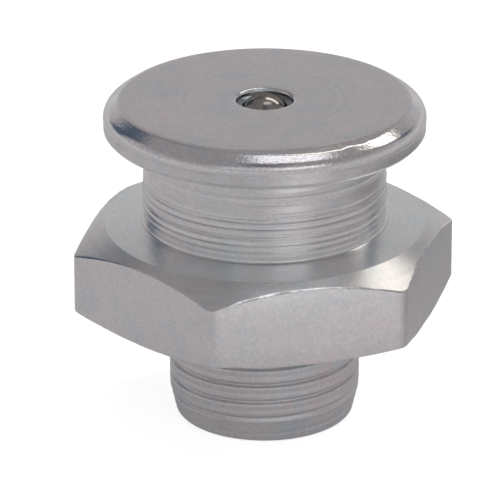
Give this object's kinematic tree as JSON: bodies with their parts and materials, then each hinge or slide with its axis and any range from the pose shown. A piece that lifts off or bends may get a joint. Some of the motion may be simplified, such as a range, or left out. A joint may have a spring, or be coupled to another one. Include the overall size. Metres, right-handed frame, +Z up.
{
  "type": "grease nipple",
  "caption": "Button-head grease nipple: flat round head on a grooved neck, a wrench hexagon, a parallel pipe thread and a spring-loaded check ball.",
  "frame": {"origin": "centre of the thread's end face, on the ground plane it stands on", "axes": "+Z up the turning axis, from the thread's end through the head; +X through a corner of the hexagon, so -Y is a wrench flat"},
  "size_m": [0.0194, 0.017, 0.0169],
  "materials": {
    "body": "bright zinc plate over turned steel, satin",
    "ball": "polished bearing steel",
    "spring": "drawn spring wire"
  },
  "bodies": {
    "fitting": {"body": "body", "spring": "spring"},
    "ball": {"check_ball": "ball"}
  },
  "joints": [
    {"name": "ball_lift", "type": "slide", "parent": "fitting", "child": "ball", "axis": [0, 0, -1], "range_m": [0, 0.0009], "stiffness_N_per_m": 700, "deforming": ["spring"]}
  ]
}
